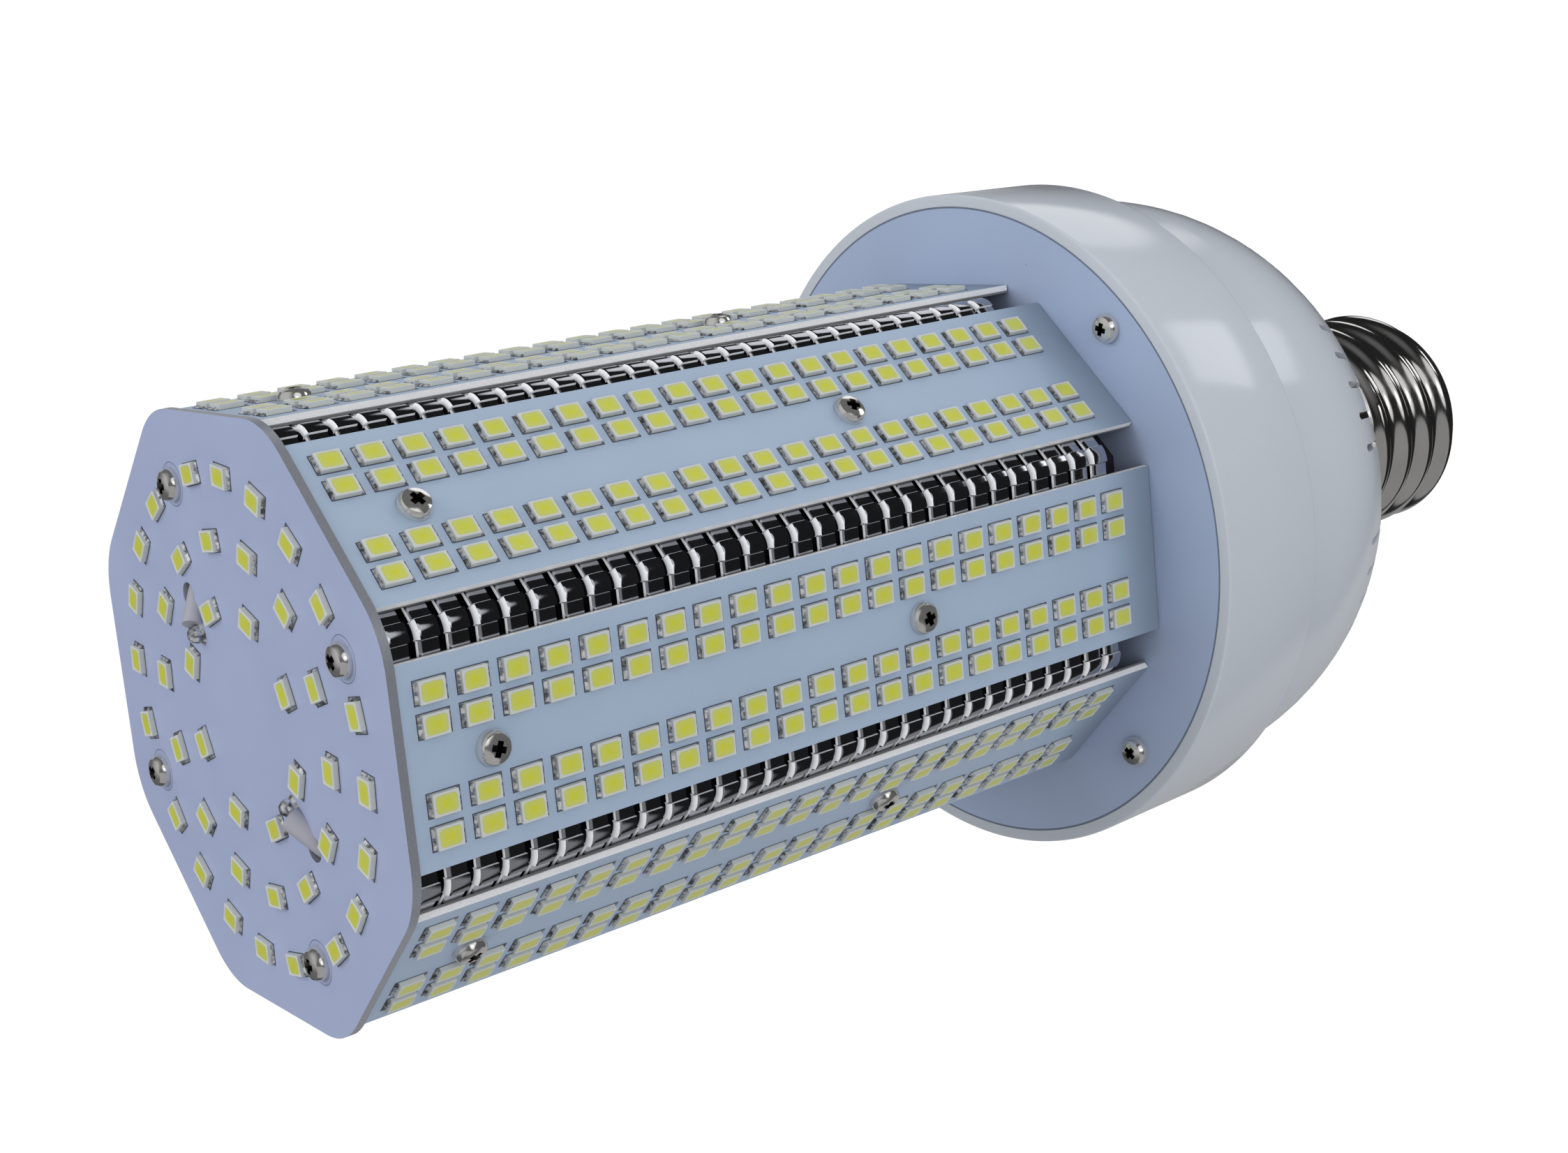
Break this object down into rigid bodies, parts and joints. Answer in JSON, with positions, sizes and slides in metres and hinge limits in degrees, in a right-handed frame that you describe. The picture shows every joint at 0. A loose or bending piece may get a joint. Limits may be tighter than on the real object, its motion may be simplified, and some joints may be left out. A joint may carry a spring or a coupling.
{
  "type": "corn led bulb",
  "caption": "Corn-style LED lamp: eight flat LED boards round a stack of cooling fins, an LED end plate, a vented driver housing and a large screw cap.",
  "frame": {"origin": "tip of the cap's centre contact, on the lamp's axis", "axes": "+Z along the axis from the cap to the LED end; +X through the middle of one side board"},
  "size_m": [0.1062, 0.1062, 0.2466],
  "materials": {
    "led_boards": "white solder mask on aluminium, satin",
    "leds": "white package with a yellow phosphor window",
    "screws": "bright zinc plate",
    "fins": "bright cut edges, dark faces",
    "core": "dark, satin",
    "disc": "pale blue-grey, satin",
    "housing": "pale grey moulding, semi-gloss",
    "cap": "nickel plate",
    "insulator": "black, glossy",
    "contact": "plain",
    "solder": "bright tin",
    "wire": "white silicone",
    "circuit_board": "green, satin",
    "ferrite": "dark grey ferrite",
    "winding": "enamelled copper",
    "cans": "sleeved can",
    "film": "yellow film box"
  },
  "bodies": {
    "root": {"cap_contact": "contact", "cap_insulator": "insulator", "cap_shell": "cap", "cap_lead_centre": "wire", "cap_lead_side": "wire", "housing_dome": "housing", "housing_ring": "housing", "base_disc": "disc", "base_disc_screws": "screws", "driver_board": "circuit_board", "driver_board_screws": "screws", "driver_transformer": "ferrite", "driver_winding": "winding", "driver_capacitors": "cans", "driver_choke": "ferrite", "driver_film_capacitor": "film", "fin_core": "core", "fin_core_screws": "screws", "fin_stack": "fins", "board_screws": "screws", "end_plate": "led_boards", "end_plate_leds": "leds", "end_plate_screws": "screws", "solder_joints": "solder", "lead_wire_1": "wire", "lead_wire_2": "wire", "led_board_1": "led_boards", "board_leds_1": "leds", "led_board_2": "led_boards", "board_leds_2": "leds", "led_board_3": "led_boards", "board_leds_3": "leds", "led_board_4": "led_boards", "board_leds_4": "leds", "led_board_5": "led_boards", "board_leds_5": "leds", "led_board_6": "led_boards", "board_leds_6": "leds", "led_board_7": "led_boards", "board_leds_7": "leds", "led_board_8": "led_boards", "board_leds_8": "leds"}
  },
  "joints": []
}
